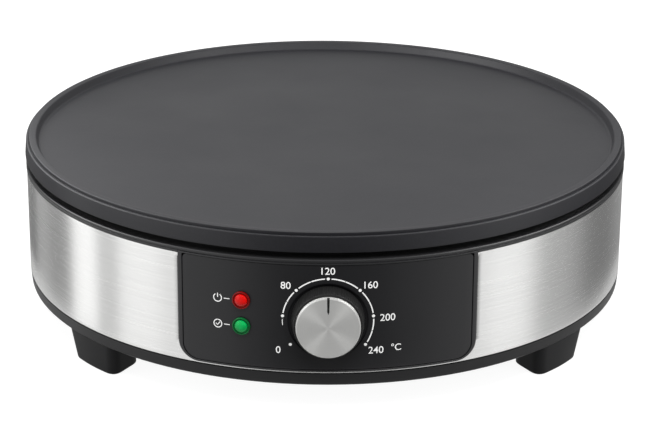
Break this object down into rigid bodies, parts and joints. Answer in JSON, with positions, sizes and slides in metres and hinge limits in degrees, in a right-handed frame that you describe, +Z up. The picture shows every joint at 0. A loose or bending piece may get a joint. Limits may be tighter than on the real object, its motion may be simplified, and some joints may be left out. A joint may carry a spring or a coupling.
{
  "type": "electric crepe maker",
  "caption": "Round countertop electric crepe maker: flat coated cooking plate on a low housing of steel and black plastic, with a curved control panel, temperature knob and pilot lamps.",
  "frame": {"origin": "on the plate's axis, level with the bottoms of the foot pads", "axes": "+Z up; the control panel faces -Y and the cord gland faces +Y; +X is to the right, seen from the front"},
  "size_m": [0.33, 0.3442, 0.0993],
  "materials": {
    "plate_coating": "matte dark non-stick coating on cast aluminium",
    "lip_plastic": "satin black plastic",
    "band_steel": "stainless steel brushed round its circumference",
    "seam_steel": "plain steel strip",
    "rivet_steel": "plated steel",
    "base_plastic": "satin black plastic with a fine grain",
    "foot_plastic": "satin black plastic",
    "pad_rubber": "matte black rubber",
    "screw_steel": "zinc-plated steel",
    "frame_plastic": "satin black plastic with a fine grain",
    "fascia_plastic": "satin black plastic with white printing",
    "grip_plastic": "matte black plastic with fine ribs",
    "cap_aluminium": "spun aluminium with a black pointer line",
    "spring_steel": "hardened spring steel",
    "brass": "turned brass",
    "ceramic": "unglazed steatite",
    "bracket_steel": "zinc-plated steel sheet",
    "copper": "drawn copper",
    "lens_red": "glossy clear red plastic",
    "lens_green": "glossy clear green plastic",
    "lamp_plastic": "heat-proof moulding",
    "element_steel": "annealed steel tube, dark from heat",
    "shield_aluminium": "bright rolled aluminium sheet",
    "fuse_metal": "dull metal case with resin at its end",
    "gland_plastic": "black nylon",
    "block_plastic": "white nylon",
    "wire_brown": "silicone-insulated wire, brown",
    "wire_white": "glass-fibre sleeved wire, off-white",
    "wire_blue": "silicone-insulated wire, blue",
    "wire_green": "silicone-insulated wire, green",
    "wire_red": "thin silicone-insulated wire, red"
  },
  "bodies": {
    "housing": {"cooking_plate": "plate_coating", "upper_ring": "lip_plastic", "steel_band": "band_steel", "band_seam_strip": "seam_steel", "seam_rivets": "rivet_steel", "base_pan": "base_plastic", "foot_front_left": "foot_plastic", "foot_front_right": "foot_plastic", "foot_rear_left": "foot_plastic", "foot_rear_right": "foot_plastic", "pad_front_left": "pad_rubber", "pad_front_right": "pad_rubber", "pad_rear_left": "pad_rubber", "pad_rear_right": "pad_rubber", "foot_screws": "screw_steel", "base_screws": "screw_steel", "control_frame": "frame_plastic", "control_fascia": "fascia_plastic", "frame_screws": "screw_steel", "thermostat_body": "ceramic", "thermostat_bushing": "brass", "thermostat_nut": "screw_steel", "thermostat_bracket": "bracket_steel", "thermostat_screws": "screw_steel", "bracket_screws": "screw_steel", "thermostat_blades": "brass", "capillary_tube": "copper", "sensor_bulb": "copper", "bulb_clip": "bracket_steel", "power_lamp_lens": "lens_red", "ready_lamp_lens": "lens_green", "power_lamp_body": "lamp_plastic", "ready_lamp_body": "lamp_plastic", "lamp_push_nuts": "spring_steel", "heating_element": "element_steel", "element_terminals": "screw_steel", "element_clamps": "bracket_steel", "clamp_screws": "screw_steel", "heat_shield": "shield_aluminium", "plate_spacers": "ceramic", "plate_screws": "screw_steel", "thermal_fuse": "fuse_metal", "fuse_clip": "bracket_steel", "cord_gland": "gland_plastic", "gland_nut": "gland_plastic", "terminal_block": "block_plastic", "terminal_screws": "brass", "earth_screw": "brass", "wire_crimps": "brass", "live_wire": "wire_brown", "switched_wire": "wire_brown", "fuse_wire": "wire_white", "neutral_wire": "wire_blue", "earth_wire": "wire_green", "lamp_wires": "wire_red"},
    "control_knob": {"knob_grip": "grip_plastic", "knob_cap": "cap_aluminium", "knob_spring_clip": "spring_steel", "thermostat_spindle": "brass"},
    "follower": {"thermostat_follower": "ceramic"}
  },
  "joints": [
    {"name": "knob_turn", "type": "hinge", "parent": "housing", "child": "control_knob", "pos_m": [0, -0.163, 0.0528], "axis": [0, 1, 0], "range_deg": [-126, 126]},
    {"name": "follower_slide", "type": "slide", "parent": "housing", "child": "follower", "axis": [0, 1, 0], "range_m": [-0.00036, 0.00036]}
  ],
  "couplings": [
    {"joint": "follower_slide", "follows": "knob_turn", "m_per_rad": 0.00015915}
  ]
}
